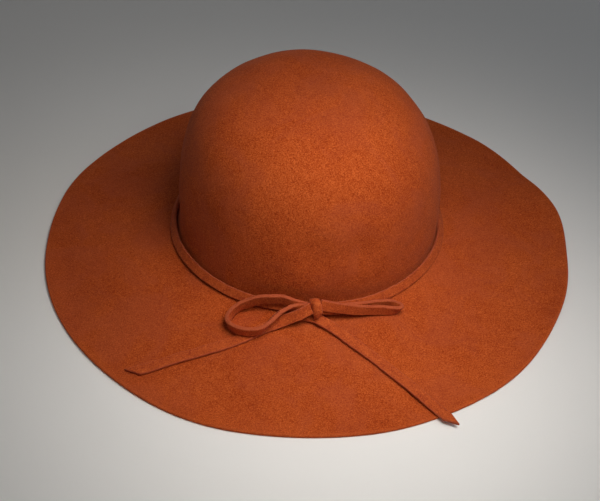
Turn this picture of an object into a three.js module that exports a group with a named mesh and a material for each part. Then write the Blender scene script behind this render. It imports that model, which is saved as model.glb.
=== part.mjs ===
// A wide-brimmed floppy hat of wool felt, lying on its brim, with a flat felt lace round the foot of
// the crown that is tied in a bow at the front.
// Millimetres. +Z is up, the floor is z = 0, +X is the wearer's left, and the bow is on the -Y side.

import * as THREE from "three";

// ---- Felt body: driving dimensions ----

const FELT = 2.4; // thickness of the wool felt
const CROWN_RADIUS = 92.8; // outside of the crown wall
const CROWN_HEIGHT = 138.1; // top of the crown above the floor
const DOME_FOOT = 34.2; // height at which the straight wall turns into the dome
const DOME_POWER = 2.85; // 2 is an ellipse, more is squarer in the shoulder
const FILLET = 7.2; // radius of the turn from crown wall to brim
const FILLET_HEIGHT = 25.3; // height of that turn's centre
const BRIM_RADIUS = 190; // outside edge of the brim
const BRIM_SLOPE = 0.22; // fall of the brim for each millimetre outward, next to the crown
const REST_RADIUS = 177; // the underside comes down to the floor at this radius
const REST_FLAT = 184; // and lies flat on it from here to the edge
const REST_SOFT = 0.45; // half height of the bend where it flattens
const EDGE_ROUND = 0.5; // rounding of the cut edge
const WAVE_POWER = 1.6; // how late the waves start between crown and edge

const DOME_RINGS = 13;
const WALL_RINGS = 2;
const FILLET_RINGS = 4;
const BRIM_RINGS = 9;
const SECTORS = 66;

// The crown stands a little to the left at its foot and leans to the right towards the top.
const FOOT_SHIFT = 1.6;
const TOP_LEAN = 6.0;
const LEAN_POWER = 2.6;
const DENT_AIM = 60; // dents press towards this height on the axis

// Waves of the brim edge: where, how far the edge lifts off the floor, and how wide the wave is.
const EDGE_WAVES = [
  { azimuth: 14, lift: 7.0, spread: 12 },
  { azimuth: -9, lift: 1.6, spread: 12 },
  { azimuth: 96, lift: 2.4, spread: 22 },
  { azimuth: 160, lift: 3.1, spread: 19 },
  { azimuth: -89, lift: 1.6, spread: 8 },
  { azimuth: -141, lift: 0.9, spread: 10 },
];

// How far the edge runs outside (+) or inside (-) a true circle.
const EDGE_REACH = [
  { azimuth: 9, reach: 2.8, spread: 9 },
  { azimuth: -14, reach: 1.1, spread: 10 },
  { azimuth: -46, reach: 2.9, spread: 16 },
  { azimuth: -72, reach: 1.5, spread: 12 },
  { azimuth: -112, reach: 2.6, spread: 15 },
  { azimuth: 28, reach: -1.6, spread: 8 },
  { azimuth: 55, reach: -1.3, spread: 10 },
  { azimuth: 160, reach: 1.1, spread: 12 },
  { azimuth: -178, reach: -0.7, spread: 9 },
];

// Shallow dents of the crown: azimuth, distance from the axis, height, width and depth.
const DENTS = [
  { azimuth: 60, out: 12, up: 138, spread: 20, depth: 1.2 },
  { azimuth: 175, out: 47, up: 133, spread: 16, depth: 1.1 },
  { azimuth: -16, out: 40, up: 133, spread: 18, depth: 1.0 },
  { azimuth: -78, out: 91, up: 67, spread: 20, depth: 1.6 },
  { azimuth: -142, out: 92, up: 62, spread: 22, depth: 1.1 },
  { azimuth: 100, out: 91, up: 75, spread: 26, depth: 1.5 },
];

// ---- Lace: driving dimensions ----

const LACE_WIDTH = 7.5;
const LACE_THICK = 2.0;
const LACE_CHAMFER = 0.45; // worn corners of the lace
const BAND_RADIUS = 97.2; // middle of the band's width
const BAND_HEIGHT = 22.6;
const BAND_LEAN = 35; // degrees from upright: the band lies back against the turn of the felt
const BAND_STEPS = 50;
const KNOT_AZIMUTH = -85.8;
const KNOT_HALF_GAP = 0.5; // degrees on each side between the band's two ends, behind the knot
const CLEAR = 0.3; // gap that keeps two pieces apart

const KNOT_HEIGHT = 12.6; // along the lace's width
const KNOT_DEPTH = 9.8; // outward from the band
const KNOT_RISE = 2.6; // the knot sits a little above the band's middle
const KNOT_CORNER = 3.0;
const KNOT_BEVEL = 0.8;

// Routes of the loose lace: centre of the lace, and its roll in degrees from standing on edge (0) to
// lying flat on the brim (90).
const LOOP_LEFT = [
  { x: 2, y: -99, z: 25.5, roll: -35 },
  { x: -4, y: -99.5, z: 28, roll: -25 },
  { x: -9, y: -99, z: 30, roll: -12 },
  { x: -15, y: -97, z: 31, roll: -5 },
  { x: -22, y: -96.5, z: 30.5, roll: -3 },
  { x: -30, y: -95.5, z: 29, roll: -3 },
  { x: -38, y: -95.5, z: 25.5, roll: -2 },
  { x: -44, y: -96.5, z: 23, roll: 3 },
  { x: -48.5, y: -99.5, z: 20.5, roll: -2 },
  { x: -51, y: -104, z: 19, roll: -6 },
  { x: -50.5, y: -109, z: 19, roll: -6 },
  { x: -46.5, y: -114, z: 19.5, roll: 0 },
  { x: -41, y: -117, z: 20, roll: 2 },
  { x: -35, y: -118, z: 20.5, roll: 0 },
  { x: -29, y: -117, z: 21.5, roll: -10 },
  { x: -24, y: -113, z: 23.5, roll: -25 },
  { x: -19, y: -107.5, z: 26, roll: -33 },
  { x: -14.5, y: -103.5, z: 27, roll: -32 },
  { x: -10, y: -101.5, z: 27.5, roll: -20 },
  { x: -6, y: -101.5, z: 27.5, roll: 5 },
  { x: -2, y: -102, z: 27.5, roll: 28 },
  { x: 3, y: -101, z: 27.5, roll: 35 },
];

const LOOP_RIGHT = [
  { x: 12, y: -99.5, z: 25.5, roll: 35 },
  { x: 20, y: -98.5, z: 24.5, roll: 27 },
  { x: 28, y: -97, z: 24.5, roll: 20 },
  { x: 36, y: -95, z: 24, roll: 13 },
  { x: 44, y: -92, z: 23, roll: 11 },
  { x: 52, y: -89, z: 21.5, roll: 11 },
  { x: 57.5, y: -88.5, z: 21, roll: 14 },
  { x: 61.5, y: -90, z: 20.5, roll: 22 },
  { x: 63.5, y: -91, z: 20, roll: 25 },
  { x: 62.5, y: -92.5, z: 20, roll: 15 },
  { x: 59.5, y: -93.5, z: 20, roll: 2 },
  { x: 52, y: -94.5, z: 21, roll: -8 },
  { x: 44, y: -96, z: 22.5, roll: -11 },
  { x: 36, y: -98, z: 24, roll: -13 },
  { x: 28, y: -99.5, z: 26, roll: -20 },
  { x: 20, y: -100.5, z: 28, roll: -27 },
  { x: 12, y: -100.5, z: 29.5, roll: -35 },
];

const TAIL_LEFT = [
  { x: 2, y: -104, z: 28.5, roll: -40 },
  { x: -3, y: -106, z: 26.5, roll: -40 },
  { x: -8, y: -106.5, z: 24, roll: -42 },
  { x: -12, y: -106.5, z: 22, roll: -46 },
  { x: -16, y: -107, z: 20, roll: -54 },
  { x: -20, y: -108, z: 18.5, roll: -66 },
  { x: -26, y: -110, z: 17, roll: -79 },
  { x: -32, y: -113, z: 16, roll: -87 },
  { x: -40, y: -117, z: 14.5, roll: -90 },
  { x: -48, y: -120.5, z: 13, roll: -90 },
  { x: -56, y: -123.5, z: 12, roll: -90 },
  { x: -64, y: -126, z: 11, roll: -90 },
  { x: -72, y: -128.5, z: 9.5, roll: -90 },
  { x: -80, y: -130.5, z: 8.5, roll: -90 },
  { x: -88, y: -133, z: 7, roll: -90 },
  { x: -96, y: -136, z: 6, roll: -90 },
  { x: -102, y: -138, z: 5, roll: -90 },
  { x: -107, y: -139.5, z: 4.5, roll: -90 },
  { x: -111.5, y: -141, z: 4, roll: -90 },
];

const TAIL_RIGHT = [
  { x: 10.5, y: -104.5, z: 19.5, roll: 84 },
  { x: 14, y: -106, z: 18.5, roll: 87 },
  { x: 20, y: -110, z: 17, roll: 90 },
  { x: 27, y: -115.5, z: 15.5, roll: 90 },
  { x: 34, y: -121, z: 14, roll: 90 },
  { x: 41, y: -126.5, z: 12.5, roll: 90 },
  { x: 48, y: -132, z: 11, roll: 90 },
  { x: 55, y: -138, z: 9.5, roll: 90 },
  { x: 62, y: -144, z: 8, roll: 90 },
  { x: 69, y: -150, z: 6.5, roll: 90 },
  { x: 76, y: -157, z: 5, roll: 90 },
  { x: 82, y: -163.5, z: 4, roll: 90 },
  { x: 87, y: -169, z: 4, roll: 90 },
  { x: 90.5, y: -173, z: 4, roll: 90 },
  { x: 93, y: -177.5, z: 4, roll: 90 },
];

const LOOP_STEPS = 26;
const TAIL_STEPS = 14;
const TAIL_LEFT_CUT = 1.2; // millimetres of slant for each millimetre across the lace
const TAIL_RIGHT_CUT = 1.1;

// ---- Small helpers ----

const rad = THREE.MathUtils.degToRad;
const lerp = THREE.MathUtils.lerp;

/** Angle in degrees between two azimuths, the short way round. */
function azimuthGap(a, b) {
  return Math.abs(THREE.MathUtils.euclideanModulo(a - b + 180, 360) - 180);
}

/** Soft bumps of one column of a table, added up at one azimuth. */
function bumps(table, column, azimuth) {
  return table.reduce(
    (sum, row) => sum + row[column] * Math.exp(-((azimuthGap(azimuth, row.azimuth) / row.spread) ** 2)),
    0,
  );
}

/** The larger of a height and the floor, with a short bend between the two. */
function aboveFloor(height) {
  if (height > REST_SOFT) return height;
  if (height < -REST_SOFT) return 0;
  return (height + REST_SOFT) ** 2 / (4 * REST_SOFT);
}

/** Moves every vertex of a geometry with a function of its position. */
function reshape(geometry, move) {
  const position = geometry.getAttribute("position");
  const point = new THREE.Vector3();
  for (let i = 0; i < position.count; i++) {
    move(point.fromBufferAttribute(position, i));
    position.setXYZ(i, point.x, point.y, point.z);
  }
  geometry.computeVertexNormals();
  return geometry;
}

// ---- Felt body ----

const FILLET_TURN = Math.PI / 2 - Math.atan(BRIM_SLOPE);

// Where the turn ends and the brim begins, on the upper skin.
const BRIM_FOOT = new THREE.Vector2(
  CROWN_RADIUS + FILLET * (1 - Math.cos(FILLET_TURN)),
  FILLET_HEIGHT - FILLET * Math.sin(FILLET_TURN),
);
const BRIM_REACH = REST_RADIUS - BRIM_FOOT.x;
const BRIM_FALL = BRIM_FOOT.y - FELT;
const BRIM_EASE = (BRIM_SLOPE * BRIM_REACH) / BRIM_FALL;

/** Height of the brim's underside at a radius, as an even cone that ignores waves and floor. */
function underside(radius) {
  const left = (REST_RADIUS - radius) / BRIM_REACH;
  return BRIM_FALL * Math.sign(left) * Math.abs(left) ** BRIM_EASE;
}

/** Share of an edge wave that reaches a radius: 0 at the crown, 1 at the edge. */
function waveShare(radius) {
  return Math.max((radius - BRIM_FOOT.x) / (BRIM_RADIUS - BRIM_FOOT.x), 0) ** WAVE_POWER;
}

/** Outer skin of the crown, from its top on the axis down the wall. */
function crownProfile() {
  const points = [];
  for (let i = 0; i <= DOME_RINGS; i++) {
    const turn = (Math.PI / 2) * (i / DOME_RINGS);
    const radius = CROWN_RADIUS * Math.sin(turn) ** (2 / DOME_POWER);
    const rise = i === DOME_RINGS ? 0 : Math.cos(turn) ** (2 / DOME_POWER);
    points.push(new THREE.Vector2(radius, lerp(DOME_FOOT, CROWN_HEIGHT, rise)));
  }
  for (let i = 1; i < WALL_RINGS; i++) {
    points.push(new THREE.Vector2(CROWN_RADIUS, lerp(DOME_FOOT, FILLET_HEIGHT, i / WALL_RINGS)));
  }
  return points;
}

/** Outer skin of the turn from wall to brim, a hollow round that ends on the brim's slope. */
function filletProfile() {
  const points = [];
  for (let i = 0; i <= FILLET_RINGS; i++) {
    const turn = (FILLET_TURN * i) / FILLET_RINGS;
    const out = CROWN_RADIUS + FILLET * (1 - Math.cos(turn));
    points.push(new THREE.Vector2(out, FILLET_HEIGHT - FILLET * Math.sin(turn)));
  }
  return points;
}

/** A profile moved to the inside of the felt, point for point. */
function insideOf(profile) {
  return profile.map((point, i) => {
    if (i === 0) return new THREE.Vector2(0, point.y - FELT);
    const before = profile[i - 1];
    const after = profile[Math.min(i + 1, profile.length - 1)];
    const along = after.clone().sub(before).normalize();
    return new THREE.Vector2(point.x + FELT * along.y, point.y - FELT * along.x);
  });
}

/** The brim's radii, from the ring after the turn to the ring before the cut edge. */
function brimRadii() {
  const radii = [];
  for (let i = 1; i <= BRIM_RINGS; i++) {
    radii.push(lerp(BRIM_FOOT.x, REST_FLAT, i / BRIM_RINGS));
  }
  radii.push(BRIM_RADIUS - EDGE_ROUND);
  return radii;
}

/** The whole wall in section: inner skin, cut edge and outer skin, from axis to axis. */
function feltProfile() {
  const cap = [...crownProfile(), ...filletProfile()];
  const radii = brimRadii();
  const edgeHeight = underside(BRIM_RADIUS);
  return [
    ...insideOf(cap),
    ...radii.map((radius) => new THREE.Vector2(radius, underside(radius))),
    new THREE.Vector2(BRIM_RADIUS, edgeHeight + EDGE_ROUND),
    new THREE.Vector2(BRIM_RADIUS, edgeHeight + FELT - EDGE_ROUND),
    ...radii.map((radius) => new THREE.Vector2(radius, underside(radius) + FELT)).reverse(),
    ...cap.reverse(),
  ];
}

/** Lifts the brim into its waves, lays it on the floor and draws its edge in and out. */
function waveBrim(point) {
  const radius = Math.hypot(point.x, point.y);
  const azimuth = THREE.MathUtils.radToDeg(Math.atan2(point.y, point.x));
  const share = waveShare(radius);
  const even = underside(radius);
  point.z += aboveFloor(even + share * bumps(EDGE_WAVES, "lift", azimuth)) - even;
  const reach = 1 + (share * bumps(EDGE_REACH, "reach", azimuth)) / radius;
  point.x *= reach;
  point.y *= reach;
}

/** Leans the crown and presses its shallow dents. */
function settleCrown(point) {
  const rise = THREE.MathUtils.clamp((point.z - FILLET_HEIGHT) / (CROWN_HEIGHT - FILLET_HEIGHT), 0, 1);
  const start = point.clone();
  for (const dent of DENTS) {
    const angle = rad(dent.azimuth);
    const centre = new THREE.Vector3(dent.out * Math.cos(angle), dent.out * Math.sin(angle), dent.up);
    const inward = new THREE.Vector3(0, 0, DENT_AIM).sub(centre).normalize();
    const press = dent.depth * Math.exp(-((start.distanceTo(centre) / dent.spread) ** 2));
    point.addScaledVector(inward, press);
  }
  point.x += FOOT_SHIFT * THREE.MathUtils.smoothstep(start.z, BRIM_FOOT.y, DOME_FOOT);
  point.x -= TOP_LEAN * rise ** LEAN_POWER;
}

/** Crown and brim, one hollow piece of felt. */
function feltBody() {
  const lathe = new THREE.LatheGeometry(feltProfile(), SECTORS);
  lathe.rotateX(Math.PI / 2);
  return reshape(lathe, (point) => {
    const onBrim = Math.hypot(point.x, point.y) > BRIM_FOOT.x - CLEAR;
    if (onBrim) waveBrim(point);
    else settleCrown(point);
  });
}

// ---- Lace ----

/** Section of the lace, a flat strip with worn corners. */
function laceSection() {
  const x = LACE_WIDTH / 2;
  const y = LACE_THICK / 2;
  const c = LACE_CHAMFER;
  return new THREE.Shape([
    new THREE.Vector2(x, -y + c),
    new THREE.Vector2(x, y - c),
    new THREE.Vector2(x - c, y),
    new THREE.Vector2(-x + c, y),
    new THREE.Vector2(-x, y - c),
    new THREE.Vector2(-x, -y + c),
    new THREE.Vector2(-x + c, -y),
    new THREE.Vector2(x - c, -y),
  ]);
}

/** Upward normal of the brim's even cone at a place. */
function brimNormal(point) {
  const tilt = Math.atan(BRIM_FALL / BRIM_REACH);
  const radial = new THREE.Vector3(point.x, point.y, 0).normalize();
  return radial.multiplyScalar(Math.sin(tilt)).setZ(Math.cos(tilt));
}

/**
 * A strip of lace along a curve. `rollAt` gives its roll in degrees at a share of the curve, and
 * `cut` slants its far end.
 */
function laceAlong(curve, steps, rollAt, cut = 0) {
  const strip = new THREE.ExtrudeGeometry(laceSection(), { depth: 1, steps, bevelEnabled: false });
  return reshape(strip, (point) => {
    const share = point.z;
    const along = curve.getTangentAt(share);
    const side = brimNormal(curve.getPointAt(share)).cross(along).normalize();
    const up = along.clone().cross(side);
    const roll = rad(rollAt(share));
    const across = up.clone().multiplyScalar(Math.cos(roll)).addScaledVector(side, Math.sin(roll));
    const face = across.clone().cross(along).negate();
    const end = share > 1 - 0.5 / steps ? cut * point.x : 0;
    const { x, y } = point;
    point.copy(curve.getPointAt(share));
    point.addScaledVector(across, x).addScaledVector(face, y).addScaledVector(along, end);
  });
}

/** A loose stretch of lace through the rows of a route. */
function looseLace(route, steps, cut) {
  const curve = new THREE.CatmullRomCurve3(route.map((row) => new THREE.Vector3(row.x, row.y, row.z)));
  const rollAt = (share) => {
    const place = curve.getUtoTmapping(share) * (route.length - 1);
    const row = Math.min(Math.floor(place), route.length - 2);
    return lerp(route[row].roll, route[row + 1].roll, place - row);
  };
  return laceAlong(curve, steps, rollAt, cut);
}

/** The circle that the band follows, from behind the knot all the way round to it again. */
class BandCurve extends THREE.Curve {
  getPoint(share, target = new THREE.Vector3()) {
    const angle = rad(lerp(KNOT_AZIMUTH + KNOT_HALF_GAP, KNOT_AZIMUTH + 360 - KNOT_HALF_GAP, share));
    return target.set(BAND_RADIUS * Math.cos(angle), BAND_RADIUS * Math.sin(angle), BAND_HEIGHT);
  }
}

/** The lace round the foot of the crown. */
function band() {
  return laceAlong(new BandCurve(), BAND_STEPS, () => BAND_LEAN);
}

/** The wrapped knot: a short rounded block whose length lies along the band. */
function knot() {
  const x = KNOT_DEPTH / 2 - KNOT_BEVEL;
  const y = KNOT_HEIGHT / 2 - KNOT_BEVEL;
  const r = KNOT_CORNER - KNOT_BEVEL;
  const outline = new THREE.Shape();
  outline.moveTo(-x + r, -y);
  outline.lineTo(x - r, -y);
  outline.absarc(x - r, -y + r, r, -Math.PI / 2, 0);
  outline.lineTo(x, y - r);
  outline.absarc(x - r, y - r, r, 0, Math.PI / 2);
  outline.lineTo(-x + r, y);
  outline.absarc(-x + r, y - r, r, Math.PI / 2, Math.PI);
  outline.lineTo(-x, -y + r);
  outline.absarc(-x + r, -y + r, r, Math.PI, 1.5 * Math.PI);
  const block = new THREE.ExtrudeGeometry(outline, {
    depth: LACE_WIDTH - 2 * KNOT_BEVEL,
    curveSegments: 4,
    bevelThickness: KNOT_BEVEL,
    bevelSize: KNOT_BEVEL,
    bevelSegments: 2,
  });
  return block.translate(0, 0, KNOT_BEVEL - LACE_WIDTH / 2);
}

// ---- Materials ----

/** Rust-coloured wool felt of crown and brim. */
function feltMaterial() {
  return new THREE.MeshStandardMaterial({ color: 0xa8431b, roughness: 0.95, metalness: 0 });
}

/** The same felt cut as lace, a shade redder. */
function laceMaterial() {
  return new THREE.MeshStandardMaterial({ color: 0xa5442a, roughness: 0.92, metalness: 0 });
}

// ---- Assembly ----

/** A named mesh. */
function piece(name, geometry, material) {
  const mesh = new THREE.Mesh(geometry, material);
  mesh.name = name;
  return mesh;
}

/** The knot, seated on the band's outer face. */
function placedKnot() {
  const mesh = piece("bow_knot", knot(), laceMaterial());
  const tilt = Math.atan(BRIM_FALL / BRIM_REACH);
  const lean = rad(BAND_LEAN) - tilt;
  const out = LACE_THICK / 2 + CLEAR + KNOT_DEPTH / 2;
  mesh.rotation.set(Math.PI / 2, 0, lean, "YXZ");
  mesh.position.set(
    BAND_RADIUS + out * Math.cos(lean) - KNOT_RISE * Math.sin(lean),
    0,
    BAND_HEIGHT + out * Math.sin(lean) + KNOT_RISE * Math.cos(lean),
  );
  const turned = new THREE.Group();
  turned.add(mesh);
  turned.rotation.z = rad(KNOT_AZIMUTH);
  return turned;
}

const hat = new THREE.Group();
hat.add(piece("felt_body", feltBody(), feltMaterial()));
hat.add(piece("band", band(), laceMaterial()));
hat.add(placedKnot());

// The origin is under the middle of the hat, loose lace left out.
const frame = new THREE.Box3().setFromObject(hat, true);
const centre = frame.getCenter(new THREE.Vector3());

hat.add(piece("bow_loop_left", looseLace(LOOP_LEFT, LOOP_STEPS), laceMaterial()));
hat.add(piece("bow_loop_right", looseLace(LOOP_RIGHT, LOOP_STEPS), laceMaterial()));
hat.add(piece("tail_left", looseLace(TAIL_LEFT, TAIL_STEPS, TAIL_LEFT_CUT), laceMaterial()));
hat.add(piece("tail_right", looseLace(TAIL_RIGHT, TAIL_STEPS, TAIL_RIGHT_CUT), laceMaterial()));
hat.position.set(-centre.x, -centre.y, -frame.min.z);

const part = new THREE.Group();
part.add(hat);

export default part;
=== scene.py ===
"""A wide-brimmed floppy hat of rust-coloured wool felt, with a flat felt lace tied in a bow.

Metres, +Z up. The hat lies on its brim on a pale floor, the bow is on the -Y side and +X is the
wearer's left. Azimuths are in degrees, counted from +X towards +Y. Shapes are worked out round the
crown's axis and then moved to the axis of the CAD band.
"""

import logging
import math
from collections.abc import Mapping, Sequence
from dataclasses import dataclass, field
from enum import Enum
from typing import Any, Union

import bpy
import numpy as np
from mathutils import Matrix, Vector, noise


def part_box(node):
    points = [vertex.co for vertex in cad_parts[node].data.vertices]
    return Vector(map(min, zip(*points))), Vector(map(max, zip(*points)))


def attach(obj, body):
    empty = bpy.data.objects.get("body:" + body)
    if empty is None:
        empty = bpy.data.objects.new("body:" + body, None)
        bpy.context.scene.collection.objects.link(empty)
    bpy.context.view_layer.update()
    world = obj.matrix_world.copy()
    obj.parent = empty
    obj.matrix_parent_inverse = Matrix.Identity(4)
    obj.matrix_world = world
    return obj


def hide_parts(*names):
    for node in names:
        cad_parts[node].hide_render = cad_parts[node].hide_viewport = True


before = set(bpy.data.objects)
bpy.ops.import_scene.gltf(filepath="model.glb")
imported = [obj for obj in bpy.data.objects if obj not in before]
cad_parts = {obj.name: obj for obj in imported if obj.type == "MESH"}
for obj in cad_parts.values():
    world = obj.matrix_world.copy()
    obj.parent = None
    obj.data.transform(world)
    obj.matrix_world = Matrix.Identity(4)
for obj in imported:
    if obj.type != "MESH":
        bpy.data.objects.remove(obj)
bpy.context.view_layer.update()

LOG = logging.getLogger("floppy_hat")
BODY = "root"

Colour = tuple[float, float, float]
Span = tuple[float, float]
Term = Union["Value", float, int]

NOISE_MEAN = 0.5
TINY = 1e-6


# ---- Shader writing ----


class Value:
    """A number that varies over a surface, so that node maths reads as plain sums."""

    def __init__(self, recipe: "Recipe", socket: bpy.types.NodeSocket) -> None:
        """Keeps where the number comes from.

        Args:
            recipe: The node sheet that the number belongs to.
            socket: The output socket that gives it.
        """
        self.recipe = recipe
        self.socket = socket

    def __add__(self, other: Term) -> "Value":
        """Sum."""
        return self.recipe.math("ADD", self, other)

    __radd__ = __add__

    def __sub__(self, other: Term) -> "Value":
        """Difference."""
        return self.recipe.math("SUBTRACT", self, other)

    def __mul__(self, other: Term) -> "Value":
        """Product."""
        return self.recipe.math("MULTIPLY", self, other)

    __rmul__ = __mul__

    def clamped(self) -> "Value":
        """The number held between 0 and 1."""
        return self.recipe.math("MULTIPLY", self, 1.0, clamp=True)

    def rise(self, low: float, high: float) -> "Value":
        """A smooth step over the number.

        Args:
            low: Where the step begins, at 0.
            high: Where it ends, at 1.

        Returns:
            The step, from 0 to 1.
        """
        settings = {"interpolation_type": "SMOOTHSTEP"}
        inputs = {"Value": self, "From Min": low, "From Max": high}
        return Value(self.recipe, self.recipe.node("ShaderNodeMapRange", settings, inputs).outputs[0])


@dataclass(frozen=True)
class Cloud:
    """Soft noise: metres between lumps, number and strength of finer layers, and swirl."""

    size: float
    detail: float = 2.0
    rough: float = 0.5
    warp: float = 0.0


class Recipe:
    """The node sheet of one material."""

    def __init__(self, name: str) -> None:
        """Starts an empty material.

        Args:
            name: The material's name.
        """
        self.material = bpy.data.materials.new(name)
        self.material.use_nodes = True
        self.tree = self.material.node_tree
        self.tree.nodes.clear()

    def node(
        self,
        kind: str,
        settings: Mapping[str, Any] | None = None,
        inputs: Mapping[Union[str, int], Any] | None = None,
    ) -> bpy.types.Node:
        """Adds one node, sets it up and fills its sockets.

        Args:
            kind: The node's type, such as ShaderNodeTexNoise.
            settings: Properties of the node, set first.
            inputs: A plain value or a link for each named or numbered socket.

        Returns:
            The new node.
        """
        made = self.tree.nodes.new(kind)
        for name, value in (settings or {}).items():
            setattr(made, name, value)
        for name, value in (inputs or {}).items():
            socket = made.inputs[name]
            if isinstance(value, Value):
                self.tree.links.new(value.socket, socket)
            elif isinstance(value, bpy.types.NodeSocket):
                self.tree.links.new(value, socket)
            else:
                socket.default_value = value
        return made

    def math(self, operation: str, left: Term, right: Term, clamp: bool = False) -> Value:
        """Adds a Math node.

        Args:
            operation: The node's operation.
            left: First number.
            right: Second number.
            clamp: Whether the result is held between 0 and 1.

        Returns:
            The result.
        """
        settings = {"operation": operation, "use_clamp": clamp}
        return Value(self, self.node("ShaderNodeMath", settings, {0: left, 1: right}).outputs[0])

    def place(self) -> bpy.types.NodeSocket:
        """The position on the piece, in metres."""
        return self.node("ShaderNodeTexCoord").outputs["Object"]

    def cloud(self, layer: Cloud) -> Value:
        """Soft noise, about 0.5 on average.

        Args:
            layer: Size and character of the noise.

        Returns:
            The noise.
        """
        inputs = {
            "Vector": self.place(),
            "Scale": 1.0 / layer.size,
            "Detail": layer.detail,
            "Roughness": layer.rough,
            "Distortion": layer.warp,
        }
        return Value(self, self.node("ShaderNodeTexNoise", None, inputs).outputs["Fac"])

    def mix(self, amount: Term, low: Any, high: Any) -> bpy.types.NodeSocket:
        """Mixes two colours.

        Args:
            amount: Share of the second colour.
            low: First colour, plain or linked.
            high: Second colour, plain or linked.

        Returns:
            The mixed colour.
        """
        plain = [(*c, 1.0) if isinstance(c, tuple) else c for c in (low, high)]
        settings = {"data_type": "RGBA"}
        inputs = {0: amount, 6: plain[0], 7: plain[1]}
        return self.node("ShaderNodeMix", settings, inputs).outputs[2]

    def tag(self, name: str) -> Value:
        """A number stored on the mesh's points.

        Args:
            name: The attribute's name.

        Returns:
            Its value.
        """
        return Value(self, self.node("ShaderNodeAttribute", {"attribute_name": name}).outputs["Fac"])

    def bump(self, height: Value, distance: float) -> bpy.types.NodeSocket:
        """A normal that follows a height.

        Args:
            height: The height, in units of the distance.
            distance: Metres for a height of 1.

        Returns:
            The normal.
        """
        inputs = {"Height": height, "Distance": distance}
        return self.node("ShaderNodeBump", None, inputs).outputs[0]

    def finish(self, inputs: Mapping[str, Any]) -> bpy.types.Material:
        """Closes the sheet with a surface shader.

        Args:
            inputs: Values and links of the shader's sockets.

        Returns:
            The material.
        """
        shader = self.node("ShaderNodeBsdfPrincipled", None, inputs)
        self.node("ShaderNodeOutputMaterial", None, {"Surface": shader.outputs[0]})
        return self.material


# ---- Finishes ----


@dataclass(frozen=True)
class Nap:
    """How a felt surface takes the light."""

    relief: float
    roughness: float
    roughness_swing: float
    specular: float
    sheen_roughness: float
    sheen_tint: Colour
    sheen: float = 0.09

    def close(
        self, recipe: Recipe, colour: bpy.types.NodeSocket, height: Value, blotch: Value
    ) -> bpy.types.Material:
        """Closes a felt's node sheet.

        Args:
            recipe: The node sheet.
            colour: The felt's colour.
            height: The height of its relief.
            blotch: Noise that makes some places duller than others.

        Returns:
            The material.
        """
        dull = self.roughness + (blotch - NOISE_MEAN) * self.roughness_swing
        return recipe.finish(
            {
                "Base Color": colour,
                "Roughness": dull.clamped(),
                "Normal": recipe.bump(height, self.relief),
                "Specular IOR Level": self.specular,
                "Sheen Weight": self.sheen,
                "Sheen Roughness": self.sheen_roughness,
                "Sheen Tint": (*self.sheen_tint, 1.0),
            }
        )


@dataclass(frozen=True)
class WoolFelt:
    """Pressed wool: matted fibres, specks of deeper and paler dye, and patches of brushed nap painted
    pinker, partly real nap and partly painted sheen.
    """

    name: str = "rust_wool_felt"
    deep: Colour = (0.285, 0.0340, 0.0048)
    main: Colour = (0.440, 0.0700, 0.0110)
    pale: Colour = (0.600, 0.1230, 0.0250)
    fleck: Colour = (0.720, 0.1900, 0.0500)
    # Lighter colour of the cut edge: a painted highlight of the fuzzy edge catching the light.
    cut: Colour = (0.520, 0.0960, 0.0220)
    # Pinker colour of the brushed-nap patches: partly real nap, partly painted sheen.
    brushed_nap_sheen: Colour = (0.405, 0.0760, 0.0300)
    specks: Cloud = Cloud(0.00082, detail=2.5, rough=0.62, warp=0.4)
    blotches: Cloud = Cloud(0.0060, detail=3.0, rough=0.6, warp=0.8)
    drifts: Cloud = Cloud(0.0550)
    strands: Cloud = Cloud(0.001968, rough=0.7, warp=2.6)
    flecks: Cloud = Cloud(0.000574, detail=1.0, warp=0.6)
    patches: Cloud = Cloud(0.0385, detail=2.5, rough=0.55, warp=1.0)
    speck_tone: float = 2.3
    blotch_tone: float = 0.50
    drift_tone: float = 0.45
    strand_tone: float = 0.8
    main_rise: Span = (0.12, 0.55)
    pale_rise: Span = (0.52, 0.98)
    fleck_rise: Span = (0.58, 0.80)
    patch_rise: Span = (0.42, 0.66)
    fleck_share: float = 0.5
    patch_share: float = 0.05
    patch_strands: float = 0.5
    cut_share: float = 0.25
    cut_blotches: float = 0.3
    speck_height: float = 0.6
    strand_height: float = 0.5
    blotch_height: float = 0.5
    nap: Nap = Nap(0.00045, 0.86, 0.12, 0.10, 0.42, (1.0, 0.42, 0.30))

    def material(self) -> bpy.types.Material:
        """Writes the felt's node sheet.

        Returns:
            The material.
        """
        recipe = Recipe(self.name)
        speck = recipe.cloud(self.specks)
        blotch = recipe.cloud(self.blotches)
        drift = recipe.cloud(self.drifts)
        strand = recipe.cloud(self.strands)
        tone = NOISE_MEAN + (speck - NOISE_MEAN) * self.speck_tone
        tone = tone + (blotch - NOISE_MEAN) * self.blotch_tone
        tone = tone + (drift - NOISE_MEAN) * self.drift_tone
        tone = (tone + (strand - NOISE_MEAN) * self.strand_tone).clamped()
        colour = recipe.mix(tone.rise(*self.main_rise), self.deep, self.main)
        colour = recipe.mix(tone.rise(*self.pale_rise), colour, self.pale)
        fleck = recipe.cloud(self.flecks).rise(*self.fleck_rise)
        colour = recipe.mix(fleck * self.fleck_share, colour, self.fleck)
        # Patches mixed towards the pinker colour: partly brushed nap, partly painted sheen of light
        # glancing off the fuzz.
        nap_sheen_patch = recipe.cloud(self.patches).rise(*self.patch_rise)
        colour = recipe.mix(nap_sheen_patch * (self.patch_share + self.patch_strands * strand), colour, self.brushed_nap_sheen)
        # The cut edge is mixed towards the lighter colour: a painted highlight of the fuzzy edge.
        edge = recipe.tag("cut_edge")
        colour = recipe.mix(edge * (self.cut_share + self.cut_blotches * blotch), colour, self.cut)
        height = speck * self.speck_height + strand * self.strand_height + blotch * self.blotch_height
        return self.nap.close(recipe, colour, height, blotch)


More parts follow.
